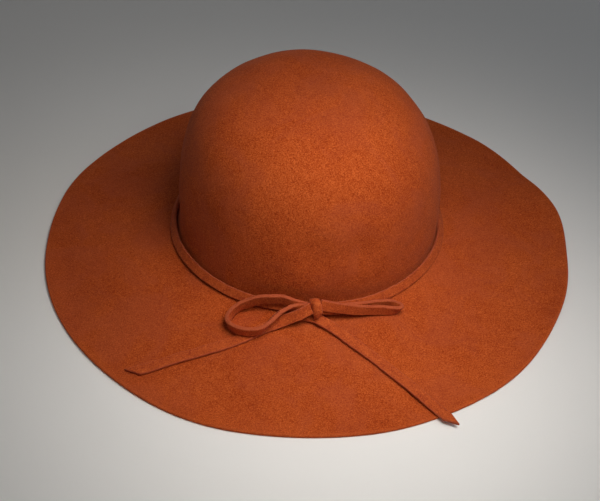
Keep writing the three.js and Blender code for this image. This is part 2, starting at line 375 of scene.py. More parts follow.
@dataclass(frozen=True)
class FeltLace:
    """A strip cut from thinner felt, a little brighter, with dull rubbed edges painted pinker, partly wear
    and partly painted sheen.
    """

    name: str = "rust_felt_lace"
    deep: Colour = (0.290, 0.0340, 0.0070)
    main: Colour = (0.450, 0.0730, 0.0118)
    pale: Colour = (0.590, 0.1220, 0.0260)
    # Pinker colour of the lace's edges: partly wear, partly painted sheen of the edges catching the light.
    rubbed_edge_sheen: Colour = (0.420, 0.0860, 0.0340)
    specks: Cloud = Cloud(0.0008, detail=2.5, rough=0.6, warp=0.5)
    blotches: Cloud = Cloud(0.0042, detail=3.0, rough=0.6, warp=0.6)
    speck_tone: float = 1.9
    blotch_tone: float = 0.8
    main_rise: Span = (0.15, 0.55)
    pale_rise: Span = (0.50, 0.95)
    edge_rise: Span = (0.4, 1.0)
    rub_and_sheen_gain: float = 1.5
    rub_and_sheen_loss: float = 0.1
    speck_height: float = 0.7
    blotch_height: float = 0.6
    nap: Nap = Nap(0.00022, 0.82, 0.15, 0.2, 0.45, (1.0, 0.44, 0.32))

    def material(self) -> bpy.types.Material:
        """Writes the lace's node sheet.

        Returns:
            The material.
        """
        recipe = Recipe(self.name)
        speck = recipe.cloud(self.specks)
        blotch = recipe.cloud(self.blotches)
        tone = NOISE_MEAN + (speck - NOISE_MEAN) * self.speck_tone
        tone = (tone + (blotch - NOISE_MEAN) * self.blotch_tone).clamped()
        colour = recipe.mix(tone.rise(*self.main_rise), self.deep, self.main)
        colour = recipe.mix(tone.rise(*self.pale_rise), colour, self.pale)
        # Cut edges mixed towards the pinker colour in specks: partly wear, partly painted sheen.
        edge = recipe.tag("cut_edge").rise(*self.edge_rise)
        rub_and_sheen = (speck * self.rub_and_sheen_gain - self.rub_and_sheen_loss).clamped()
        colour = recipe.mix(edge * rub_and_sheen, colour, self.rubbed_edge_sheen)
        height = speck * self.speck_height + blotch * self.blotch_height
        return self.nap.close(recipe, colour, height, blotch)


@dataclass(frozen=True)
class FloorFinish:
    """A plain pale matte floor."""

    name: str = "pale_floor"
    colour: Colour = (0.88, 0.875, 0.865)
    roughness: float = 0.9

    def material(self) -> bpy.types.Material:
        """Writes the floor's node sheet.

        Returns:
            The material.
        """
        recipe = Recipe(self.name)
        return recipe.finish({"Base Color": (*self.colour, 1.0), "Roughness": self.roughness})


# ---- Mesh writing ----


def mesh_piece(
    name: str,
    points: np.ndarray,
    faces: Sequence[Sequence[int]],
    cut_edge: np.ndarray,
    material: bpy.types.Material,
) -> bpy.types.Object:
    """Makes a smooth mesh object.

    Args:
        name: Name of the piece.
        points: Its points, one row each.
        faces: Point numbers of each face.
        cut_edge: For each point, how much of a cut edge it lies on, from 0 to 1.
        material: Its finish.

    Returns:
        The new object, in the scene.
    """
    mesh = bpy.data.meshes.new(name)
    mesh.from_pydata(points.tolist(), [], faces)
    mesh.polygons.foreach_set("use_smooth", np.ones(len(mesh.polygons), bool))
    mesh.attributes.new("cut_edge", "FLOAT", "POINT").data.foreach_set("value", cut_edge.astype(np.float32))
    mesh.materials.append(material)
    mesh.validate()
    made = bpy.data.objects.new(name, mesh)
    bpy.context.scene.collection.objects.link(made)
    return made


def ring_faces(rings: int, around: int, closed: bool = False) -> list[tuple[int, ...]]:
    """Four-sided faces between rings of points that follow each other.

    Args:
        rings: Number of rings.
        around: Points in each ring.
        closed: Whether the last ring joins the first.

    Returns:
        The faces.
    """
    faces = []
    for i in range(rings if closed else rings - 1):
        here, there = i * around, ((i + 1) % rings) * around
        for j in range(around):
            k = (j + 1) % around
            faces.append((here + j, here + k, there + k, there + j))
    return faces


def even_line(line: np.ndarray, spacing: float) -> np.ndarray:
    """A line walked in even steps.

    Args:
        line: Points of the line, one row each.
        spacing: Wanted length of a step.

    Returns:
        The new points, ends included.
    """
    reach = np.concatenate([[0.0], np.cumsum(np.linalg.norm(np.diff(line[:, :3], axis=0), axis=1))])
    stops = np.linspace(0.0, reach[-1], max(2, round(reach[-1] / spacing) + 1))
    return np.stack([np.interp(stops, reach, column) for column in line.T], axis=1)


def smooth_step(value: np.ndarray, low: float, high: float) -> np.ndarray:
    """A smooth step from 0 at `low` to 1 at `high`."""
    share = np.clip((value - low) / (high - low), 0.0, 1.0)
    return share * share * (3.0 - 2.0 * share)


@dataclass(frozen=True)
class Lumps:
    """Smooth random heights; `shift` moves the pattern, so that two layers differ."""

    size: float
    height: float
    shift: float

    def at(self, points: np.ndarray) -> np.ndarray:
        """The height at each point, about half of `height` either way."""
        shift = Vector((self.shift, self.shift, self.shift))
        return self.height * np.array([noise.noise(Vector(p) / self.size + shift) for p in points])


@dataclass(frozen=True)
class Ripple:
    """A wave round the crown."""

    size: float
    waves: int
    phase: float = 0.0

    def at(self, angle: np.ndarray) -> np.ndarray:
        """The wave at each angle."""
        return self.size * np.sin(self.waves * angle + self.phase)


# ---- Felt hat body ----


@dataclass(frozen=True)
class Swell:
    """A soft change of the brim's edge round one azimuth."""

    azimuth: float
    size: float
    spread: float


@dataclass(frozen=True)
class Dent:
    """A shallow dent of the crown, by azimuth, distance from the axis and height."""

    azimuth: float
    out: float
    up: float
    spread: float
    depth: float


def azimuth_gap(azimuth: np.ndarray, centre: float) -> np.ndarray:
    """Angle between azimuths and one azimuth, the short way round."""
    return np.abs((azimuth - centre + 180.0) % 360.0 - 180.0)


def swell_sum(rows: Sequence[Swell], azimuth: np.ndarray) -> np.ndarray:
    """The swells of a table added up.

    Args:
        rows: The swells.
        azimuth: Where they are wanted.

    Returns:
        One sum for each azimuth.
    """
    return sum(row.size * np.exp(-((azimuth_gap(azimuth, row.azimuth) / row.spread) ** 2)) for row in rows)


EDGE_WAVES = (
    Swell(14, 0.0070, 12),
    Swell(-9, 0.0016, 12),
    Swell(96, 0.0024, 22),
    Swell(160, 0.0031, 19),
    Swell(-89, 0.0016, 8),
    Swell(-141, 0.0009, 10),
)

EDGE_REACH = (
    Swell(9, 0.0028, 9),
    Swell(-14, 0.0011, 10),
    Swell(-46, 0.0029, 16),
    Swell(-72, 0.0015, 12),
    Swell(-112, 0.0026, 15),
    Swell(28, -0.0006, 8),
    Swell(55, -0.0013, 10),
    Swell(160, 0.0011, 12),
    Swell(-178, -0.0007, 9),
)

DENTS = (
    Dent(60, 0.012, 0.138, 0.018, 0.0020),
    Dent(-75, 0.036, 0.135, 0.014, 0.0015),
    Dent(175, 0.047, 0.133, 0.016, 0.0015),
    Dent(-16, 0.040, 0.133, 0.016, 0.0015),
    Dent(-68, 0.091, 0.063, 0.014, 0.0023),
    Dent(-88, 0.091, 0.065, 0.014, 0.0023),
    Dent(-142, 0.092, 0.062, 0.022, 0.0014),
    Dent(100, 0.091, 0.075, 0.026, 0.0017),
)


@dataclass
class FeltBody:
    """Crown and brim, blocked from one piece of felt."""

    thickness: float = 0.0024
    crown_radius: float = 0.0928
    crown_height: float = 0.1381
    dome_foot: float = 0.0342
    dome_power: float = 2.85
    fillet: float = 0.0072
    fillet_height: float = 0.0253
    brim_radius: float = 0.190
    brim_slope: float = 0.22
    rest_radius: float = 0.177
    rest_soft: float = 0.00045
    wave_power: float = 1.6
    foot_shift: float = 0.0016
    top_lean: float = 0.0060
    lean_power: float = 2.6
    dent_aim: float = 0.060
    edge_round: float = 0.0009
    sectors: int = 300
    outer_step: float = 0.00125
    inner_step: float = 0.0035
    lumps: tuple[Lumps, ...] = (Lumps(0.048, 0.0008, 3.1), Lumps(0.019, 0.00036, 7.7))
    calm_height: float = 0.004
    ruffle_inside: float = 0.001
    ruffle_outside: float = 0.004
    inner_gap: float = 0.001
    seam: float = 0.0003
    edge_power: float = 0.6
    dome_rows: int = 1200
    turn_rows: int = 60
    brim_rows: int = 200
    edge_rows: int = 9
    finish: WoolFelt = field(default_factory=WoolFelt)

    @property
    def fillet_turn(self) -> float:
        """Angle that the hollow turn sweeps between wall and brim."""
        return math.pi / 2 - math.atan(self.brim_slope)

    @property
    def foot(self) -> tuple[float, float]:
        """Where the turn ends and the brim begins, on the upper skin.

        Returns:
            Its radius and height.
        """
        turn = self.fillet_turn
        out = self.crown_radius + self.fillet * (1 - math.cos(turn))
        return out, self.fillet_height - self.fillet * math.sin(turn)

    @property
    def brim_fall(self) -> float:
        """How far the underside falls from crown to floor."""
        return self.foot[1] - self.thickness

    @property
    def brim_reach(self) -> float:
        """How far out the brim meets the floor, from its foot."""
        return self.rest_radius - self.foot[0]

    @property
    def tilt(self) -> float:
        """Mean slope of the brim, in radians."""
        return math.atan(self.brim_fall / self.brim_reach)

    def underside(self, radius: np.ndarray) -> np.ndarray:
        """The brim's underside as an even, slightly hollow cone, without waves or floor.

        Args:
            radius: Distances from the axis.

        Returns:
            The height at each distance, below 0 past the floor.
        """
        left = (self.rest_radius - radius) / self.brim_reach
        ease = self.brim_slope * self.brim_reach / self.brim_fall
        return self.brim_fall * np.sign(left) * np.abs(left) ** ease

    def cap_line(self) -> np.ndarray:
        """Outer skin of crown and turn in section, from the axis to the brim's foot.

        Returns:
            Rows of radius and height.
        """
        turn = np.linspace(0.0, math.pi / 2, self.dome_rows)
        radius = self.crown_radius * np.sin(turn) ** (2 / self.dome_power)
        rise = np.clip(np.cos(turn), 0.0, 1.0) ** (2 / self.dome_power)
        dome = np.stack([radius, self.dome_foot + (self.crown_height - self.dome_foot) * rise], axis=1)
        bend = np.linspace(0.0, self.fillet_turn, self.turn_rows)
        hollow = np.stack(
            [
                self.crown_radius + self.fillet * (1 - np.cos(bend)),
                self.fillet_height - self.fillet * np.sin(bend),
            ],
            axis=1,
        )
        return np.concatenate([dome, hollow])

    def section(self) -> tuple[np.ndarray, np.ndarray]:
        """The whole wall in section, from the axis over the outer skin and back inside.

        Returns:
            Rows of radius and height, and for each row how much it is cut edge.
        """
        cap = self.cap_line()
        rim = self.brim_radius - self.edge_round
        radii = np.linspace(self.foot[0], rim, self.brim_rows)[1:]
        brim = np.stack([radii, self.underside(radii)], axis=1)
        lift = np.array([0.0, self.thickness])
        outer = even_line(np.concatenate([cap, brim + lift]), self.outer_step)
        slope = np.gradient(cap, axis=0)
        slope /= np.linalg.norm(slope, axis=1)[:, None]
        inside = cap + self.thickness * np.stack([slope[:, 1], -slope[:, 0]], axis=1)
        inside = inside[inside[:, 0] >= 0.0]
        inside[0, 0] = 0.0
        brim_start = brim[brim[:, 0] > inside[-1, 0] + self.inner_gap]
        inner = even_line(np.concatenate([inside, brim_start]), self.inner_step)
        low = float(self.underside(np.array([self.brim_radius]))[0])
        swing = np.linspace(0.0, math.pi, self.edge_rows)[1:-1]
        half = self.thickness / 2
        edge = np.stack(
            [
                rim + self.edge_round * np.sin(swing) ** self.edge_power,
                low + half + half * np.cos(swing),
            ],
            axis=1,
        )
        rows = np.concatenate([outer, edge, inner[::-1]])
        cut = np.zeros(len(rows))
        cut[len(outer) - 1 : len(outer) + len(edge) + 1] = 1.0
        return rows, cut

    def wave_brim(self, points: np.ndarray) -> np.ndarray:
        """Lifts the brim into its waves, lays it on the floor and draws its edge in and out.

        Args:
            points: Points of the even cone.

        Returns:
            The moved points.
        """
        radius = np.hypot(points[:, 0], points[:, 1])
        azimuth = np.degrees(np.arctan2(points[:, 1], points[:, 0]))
        far = np.clip((radius - self.foot[0]) / (self.brim_radius - self.foot[0]), 0.0, None)
        share = far**self.wave_power
        even = self.underside(radius)
        height = even + share * swell_sum(EDGE_WAVES, azimuth)
        soft = self.rest_soft
        bend = np.clip(height + soft, 0.0, 2 * soft) ** 2 / (4 * soft)
        height = np.where(height > soft, height, bend)
        moved = points.copy()
        moved[:, 2] += height - even
        moved[:, :2] *= (1 + share * swell_sum(EDGE_REACH, azimuth) / np.maximum(radius, TINY))[:, None]
        return moved

    def settle_crown(self, points: np.ndarray) -> np.ndarray:
        """Leans the crown and presses its shallow dents.

        Args:
            points: Points of the upright crown.

        Returns:
            The moved points.
        """
        span = self.crown_height - self.fillet_height
        rise = np.clip((points[:, 2] - self.fillet_height) / span, 0.0, 1.0)
        moved = points.copy()
        for dent in DENTS:
            angle = math.radians(dent.azimuth)
            centre = np.array([dent.out * math.cos(angle), dent.out * math.sin(angle), dent.up])
            inward = np.array([0.0, 0.0, self.dent_aim]) - centre
            inward /= np.linalg.norm(inward)
            near = np.linalg.norm(points - centre, axis=1) / dent.spread
            moved += inward * (dent.depth * np.exp(-(near**2)))[:, None]
        moved[:, 0] += self.foot_shift * smooth_step(points[:, 2], self.foot[1], self.dome_foot)
        moved[:, 0] -= self.top_lean * rise**self.lean_power
        return moved

    def ruffle(self, points: np.ndarray) -> np.ndarray:
        """Gives the felt the slight unevenness of a soft, handled hat.

        Args:
            points: Points of the smooth hat.

        Returns:
            The moved points.
        """
        height = sum(layer.at(points) for layer in self.lumps)
        radius = np.hypot(points[:, 0], points[:, 1])
        start, end = self.crown_radius - self.ruffle_inside, self.foot[0] + self.ruffle_outside
        brim = smooth_step(radius, start, end)[:, None]
        outward = points - np.array([0.0, 0.0, self.dent_aim])
        outward /= np.linalg.norm(outward, axis=1)[:, None]
        direction = outward * (1 - brim) + np.array([0.0, 0.0, 1.0]) * brim
        calm = smooth_step(points[:, 2], 0.0, self.calm_height)
        moved = points + direction * (height * calm)[:, None]
        moved[:, 2] = np.maximum(moved[:, 2], 0.0)
        return moved

    def build(self, axis: Vector) -> bpy.types.Object:
        """Makes the mesh.

        Args:
            axis: Where the crown's axis stands.

        Returns:
            The felt body.
        """
        rows, cut = self.section()
        angles = np.linspace(0.0, 2 * math.pi, self.sectors, endpoint=False)
        rings = rows[1:-1]
        points = np.stack(
            [
                np.outer(rings[:, 0], np.cos(angles)),
                np.outer(rings[:, 0], np.sin(angles)),
                np.repeat(rings[:, 1:2], self.sectors, axis=1),
            ],
            axis=2,
        ).reshape(-1, 3)
        poles = np.array([[0.0, 0.0, rows[0, 1]], [0.0, 0.0, rows[-1, 1]]])
        points = np.concatenate([points, poles])
        on_brim = np.hypot(points[:, 0], points[:, 1]) > self.foot[0] - self.seam
        points = np.where(on_brim[:, None], self.wave_brim(points), self.settle_crown(points))
        points = self.ruffle(points) + np.array(axis)
        faces = ring_faces(len(rings), self.sectors)
        top, under = len(points) - 2, len(points) - 1
        last = (len(rings) - 1) * self.sectors
        for j in range(self.sectors):
            k = (j + 1) % self.sectors
            faces.append((top, k, j))
            faces.append((under, last + j, last + k))
        faces = [face[::-1] for face in faces]
        edge = np.concatenate([np.repeat(cut[1:-1], self.sectors), [0.0, 0.0]])
        return mesh_piece("felt_crown_and_brim", points, faces, edge, self.finish.material())


# ---- Lace ----


class Ending(Enum):
    """How a length of lace ends."""

    TUCKED = "tucked under the knot"
    CUT = "cut on a slant"


@dataclass(frozen=True)
class LacePoint:
    """Centre of the lace, and its roll in degrees: 0 stands on edge, 90 and -90 lie flat."""

    x: float
    y: float
    z: float
    roll: float


LOOP_LEFT = (
    LacePoint(0.0020, -0.0990, 0.0255, -35),
    LacePoint(-0.0040, -0.0995, 0.0280, -25),
    LacePoint(-0.0090, -0.0990, 0.0300, -12),
    LacePoint(-0.0150, -0.0970, 0.0310, -5),
    LacePoint(-0.0220, -0.0965, 0.0305, -3),
    LacePoint(-0.0300, -0.0955, 0.0290, -3),
    LacePoint(-0.0380, -0.0955, 0.0255, -2),
    LacePoint(-0.0440, -0.0965, 0.0230, 3),
    LacePoint(-0.0485, -0.0995, 0.0205, -2),
    LacePoint(-0.0510, -0.1040, 0.0190, -6),
    LacePoint(-0.0505, -0.1090, 0.0190, -6),
    LacePoint(-0.0465, -0.1140, 0.0195, 0),
    LacePoint(-0.0410, -0.1170, 0.0200, 2),
    LacePoint(-0.0350, -0.1180, 0.0205, 0),
    LacePoint(-0.0290, -0.1170, 0.0215, -10),
    LacePoint(-0.0240, -0.1130, 0.0235, -25),
    LacePoint(-0.0190, -0.1075, 0.0260, -33),
    LacePoint(-0.0145, -0.1035, 0.0270, -32),
    LacePoint(-0.0100, -0.1015, 0.0275, -20),
    LacePoint(-0.0060, -0.1015, 0.0275, 5),
    LacePoint(-0.0020, -0.1020, 0.0275, 28),
    LacePoint(0.0030, -0.1010, 0.0275, 35),
)

LOOP_RIGHT = (
    LacePoint(0.0120, -0.0995, 0.0255, 35),
    LacePoint(0.0200, -0.0985, 0.0245, 27),
    LacePoint(0.0280, -0.0970, 0.0245, 20),
    LacePoint(0.0360, -0.0950, 0.0240, 13),
    LacePoint(0.0440, -0.0920, 0.0230, 11),
    LacePoint(0.0520, -0.0890, 0.0215, 11),
    LacePoint(0.0575, -0.0885, 0.0210, 14),
    LacePoint(0.0615, -0.0900, 0.0205, 22),
    LacePoint(0.0635, -0.0910, 0.0200, 25),
    LacePoint(0.0625, -0.0925, 0.0200, 15),
    LacePoint(0.0595, -0.0935, 0.0200, 2),
    LacePoint(0.0520, -0.0945, 0.0210, -8),
    LacePoint(0.0440, -0.0960, 0.0225, -11),
    LacePoint(0.0360, -0.0980, 0.0240, -13),
    LacePoint(0.0280, -0.0995, 0.0260, -20),
    LacePoint(0.0200, -0.1005, 0.0280, -27),
    LacePoint(0.0120, -0.1005, 0.0295, -35),
)

TAIL_LEFT = (
    LacePoint(0.0020, -0.1040, 0.0285, -40),
    LacePoint(-0.0030, -0.1060, 0.0265, -40),
    LacePoint(-0.0080, -0.1065, 0.0240, -42),
    LacePoint(-0.0120, -0.1065, 0.0220, -46),
    LacePoint(-0.0160, -0.1070, 0.0200, -54),
    LacePoint(-0.0200, -0.1080, 0.0185, -66),
    LacePoint(-0.0260, -0.1100, 0.0170, -79),
    LacePoint(-0.0320, -0.1130, 0.0160, -87),
    LacePoint(-0.0400, -0.1170, 0.0145, -90),
    LacePoint(-0.0480, -0.1205, 0.0130, -90),
    LacePoint(-0.0560, -0.1235, 0.0120, -90),
    LacePoint(-0.0640, -0.1260, 0.0110, -90),
    LacePoint(-0.0720, -0.1285, 0.0095, -90),
    LacePoint(-0.0800, -0.1305, 0.0085, -90),
    LacePoint(-0.0880, -0.1330, 0.0070, -90),
    LacePoint(-0.0960, -0.1360, 0.0060, -90),
    LacePoint(-0.1020, -0.1380, 0.0050, -90),
    LacePoint(-0.1070, -0.1395, 0.0045, -90),
    LacePoint(-0.1115, -0.1410, 0.0040, -90),
)

TAIL_RIGHT = (
    LacePoint(0.0105, -0.1045, 0.0195, 84),
    LacePoint(0.0140, -0.1060, 0.0185, 87),
    LacePoint(0.0200, -0.1100, 0.0170, 90),
    LacePoint(0.0270, -0.1155, 0.0155, 90),
    LacePoint(0.0340, -0.1210, 0.0140, 90),
    LacePoint(0.0410, -0.1265, 0.0125, 90),
    LacePoint(0.0480, -0.1320, 0.0110, 90),
    LacePoint(0.0550, -0.1380, 0.0095, 90),
    LacePoint(0.0620, -0.1440, 0.0080, 90),
    LacePoint(0.0690, -0.1500, 0.0065, 90),
    LacePoint(0.0760, -0.1570, 0.0050, 90),
    LacePoint(0.0820, -0.1635, 0.0040, 90),
    LacePoint(0.0870, -0.1690, 0.0040, 90),
    LacePoint(0.0905, -0.1730, 0.0040, 90),
    LacePoint(0.0930, -0.1775, 0.0040, 90),
)

# Hidden under the knot, before the first point of TAIL_RIGHT.
TAIL_RIGHT_LEAD = (
    LacePoint(-0.0020, -0.1011, 0.0204, 52),
    LacePoint(0.0018, -0.1014, 0.0204, 55),
    LacePoint(0.0061, -0.1023, 0.0202, 66),
)


@dataclass(frozen=True)
class LaceStock:
    """The flat strip that all the lace is cut from."""

    width: float = 0.0075
    thickness: float = 0.0020
    corner: float = 0.00055
    step: float = 0.0007
    wander: float = 0.00016
    wander_rate: float = 0.19
    cup: float = 0.00012
    cup_rate: float = 0.07
    cup_phase: float = 1.0
    rough: Lumps = Lumps(0.0034, 0.00022, 1.7)
    face_reach: float = 0.8
    face_rows: int = 7
    corner_rows: int = 4
    edge_from: float = 0.3
    corner_edge: float = 0.45

    def section(self) -> np.ndarray:
        """The strip's section, a flat shape with rounded corners.

        Returns:
            Rows of across, through and share of cut edge.
        """
        rows = []
        half_width, half_thick = self.width / 2, self.thickness / 2
        corners = ((1, 1, 0), (-1, 1, 90), (-1, -1, 180), (1, -1, 270))
        for side, face, start in corners:
            if start in (90, 270):
                for share in np.linspace(self.face_reach, -self.face_reach, self.face_rows):
                    across = share * half_width * (-side)
                    rows.append((across, face * half_thick, 0.0))
            for degrees in np.linspace(start, start + 90, self.corner_rows):
                angle = math.radians(degrees)
                across = side * (half_width - self.corner) + self.corner * math.cos(angle)
                through = face * (half_thick - self.corner) + self.corner * math.sin(angle)
                on_edge = abs(math.cos(angle)) > self.edge_from
                rows.append((across, through, 1.0 if on_edge else self.corner_edge))
        return np.array(rows)


SPLINE_ROWS = 24


def spline(rows: Sequence[LacePoint], spacing: float) -> np.ndarray:
    """A smooth line through the rows of a route, walked in even steps.

    Args:
        rows: The route.
        spacing: Length of a step.

    Returns:
        Rows of x, y, z and roll.
    """
    route = np.array([(row.x, row.y, row.z, row.roll) for row in rows])
    ends = (2 * route[:1] - route[1:2], 2 * route[-1:] - route[-2:-1])
    route = np.concatenate([ends[0], route, ends[1]])
    pieces = []
    share = np.linspace(0.0, 1.0, SPLINE_ROWS, endpoint=False)[:, None]
    for p0, p1, p2, p3 in zip(route, route[1:], route[2:], route[3:]):
        gaps = [math.sqrt(np.linalg.norm((b - a)[:3])) for a, b in ((p0, p1), (p1, p2), (p2, p3))]
        leave = (p1 - p0) / gaps[0] - (p2 - p0) / (gaps[0] + gaps[1]) + (p2 - p1) / gaps[1]
        arrive = (p2 - p1) / gaps[1] - (p3 - p1) / (gaps[1] + gaps[2]) + (p3 - p2) / gaps[2]
        leave, arrive = leave * gaps[1], arrive * gaps[1]
        square, cube = share**2, share**3
        bend = (3 * square - 2 * cube) * (p2 - p1)
        pieces.append(p1 + bend + (share - 2 * square + cube) * leave + (cube - square) * arrive)
    pieces.append(route[-2:-1])
    return even_line(np.concatenate(pieces), spacing)


@dataclass
class LaceLength:
    """A length of lace that follows a route."""

    name: str
    route: tuple[LacePoint, ...]
    stock: LaceStock
    ends: tuple[Ending, Ending]
    tilt: float
    slant: float
    bulk: float
    tuck: float = 0.0022
    slant_reach: float = 2.2

    def line(self) -> np.ndarray:
        """The middle of the lace with its tucked ends.

        Returns:
            Rows of x, y, z and roll.
        """
        rows = spline(self.route, self.stock.step)
        first, last = rows[0] - rows[1], rows[-1] - rows[-2]
        if self.ends[0] is Ending.TUCKED:
            steps = np.arange(round(self.tuck / self.stock.step), 0, -1)[:, None]
            rows = np.concatenate([rows[0] + first * steps, rows])
        if self.ends[1] is Ending.TUCKED:
            steps = np.arange(1, round(self.tuck / self.stock.step) + 1)[:, None]
            rows = np.concatenate([rows, rows[-1] + last * steps])
        return rows

    def frames(self, rows: np.ndarray) -> tuple[np.ndarray, np.ndarray, np.ndarray]:
        """Directions along the line, across the strip and out of its face.

        Args:
            rows: The line, as rows of x, y, z and roll.

        Returns:
            Three arrays of unit vectors.
        """
        along = np.gradient(rows[:, :3], axis=0)
        along /= np.linalg.norm(along, axis=1)[:, None]
        radial = rows[:, :3] * np.array([1.0, 1.0, 0.0])
        radial /= np.linalg.norm(radial, axis=1)[:, None]
        upward = radial * math.sin(self.tilt) + np.array([0.0, 0.0, math.cos(self.tilt)])
        side = np.cross(upward, along)
        side /= np.linalg.norm(side, axis=1)[:, None]
        up = np.cross(along, side)
        roll = np.radians(rows[:, 3])[:, None]
        across = up * np.cos(roll) + side * np.sin(roll)
        return along, across, -np.cross(across, along)

    def build(self, axis: Vector, material: bpy.types.Material) -> bpy.types.Object:
        """Args:
            axis: Where the crown's axis stands.
            material: The lace's finish.

        Returns:
            The lace.
        """
        rows = self.line()
        section = self.stock.section()
        count, around = len(rows), len(section)
        place = np.arange(count, dtype=float)[:, None] * np.ones(around)
        if self.ends[1] is Ending.CUT:
            reach = self.slant * section[:, 0] / self.stock.step
            slope = abs(self.slant) * self.stock.width / self.stock.step
            start = count - 1 - self.slant_reach * slope
            late = np.clip((place - start) / (count - 1 - start), 0.0, 1.0)
            place = place + late * reach
        along, across, face = self.frames(rows)
        middle = rows[:, :3]
        grid = np.arange(count)

        def read(table: np.ndarray) -> np.ndarray:
            """A table of vectors read at each point's own place on the line."""
            return np.stack([np.interp(place, grid, column) for column in table.T], axis=2)

        beyond = (place - np.clip(place, 0, count - 1))[:, :, None] * self.stock.step
        points = read(middle) + read(along) * beyond
        waver = np.sin(grid * self.stock.wander_rate + len(self.name))[:, None]
        wide = 1.0 + self.stock.wander / self.stock.width * waver
        cup = self.stock.cup * np.cos(grid * self.stock.cup_rate + self.stock.cup_phase)[:, None]
        through = section[:, 1] * self.bulk + cup * (section[:, 0] / self.stock.width * 2) ** 2
        points += read(across) * (section[:, 0] * wide)[:, :, None]
        points += read(face) * (through * np.ones((count, 1)))[:, :, None]
        flat = points.reshape(-1, 3)
        rough = self.stock.rough.at(flat)
        flat = flat + read(across).reshape(-1, 3) * rough[:, None] + np.array(axis)
        faces = ring_faces(count, around)
        faces.append(tuple(range(around))[::-1])
        faces.append(tuple(range((count - 1) * around, count * around)))
        edge = np.tile(section[:, 2], count)
        edge[:around] = 1.0
        edge[-around:] = 1.0
        made = mesh_piece(self.name, flat, faces, edge, material)
        return made


@dataclass
class Band:
    """The lace round the foot of the crown."""

    stock: LaceStock
    tilt: float
    radius: float = 0.0964
    height: float = 0.0227
    lean: float = 45.0
    narrowing: float = 0.87
    sway: float = 0.0005
    rises: tuple[Ripple, ...] = (Ripple(0.00035, 3, 0.7), Ripple(0.0002, 7))
    lean_ripple: Ripple = Ripple(2.5, 5, 1.1)
    rough: Lumps = Lumps(0.0040, 0.00022, 4.2)
    steps: int = 560

    def build(self, axis: Vector, material: bpy.types.Material) -> bpy.types.Object:
        """Makes the closed ring of lace.

        Args:
            axis: Where the crown's axis stands.
            material: The lace's finish.

        Returns:
            The band.
        """
        angle = np.linspace(0.0, 2 * math.pi, self.steps, endpoint=False)
        radial = np.stack([np.cos(angle), np.sin(angle), np.zeros(self.steps)], axis=1)
        upright = np.array([0.0, 0.0, 1.0])
        lean = np.radians(self.lean + self.lean_ripple.at(angle))[:, None] - self.tilt
        across = upright * np.cos(lean) - radial * np.sin(lean)
        face = radial * np.cos(lean) + upright * np.sin(lean)
        wander = sum(ripple.at(angle) for ripple in self.rises) - self.sway * np.cos(angle)
        middle = radial * self.radius + upright * self.height + across * wander[:, None]
        section = self.stock.section()
        points = (
            middle[:, None, :]
            + across[:, None, :] * section[None, :, 0:1] * self.narrowing
            + face[:, None, :] * section[None, :, 1:2]
        ).reshape(-1, 3)
        rough = self.rough.at(points)
        points = points + np.repeat(across, len(section), axis=0) * rough[:, None] + np.array(axis)
        faces = ring_faces(self.steps, len(section), closed=True)
        edge = np.tile(section[:, 2], self.steps)
        return mesh_piece("lace_band", points, faces, edge, material)


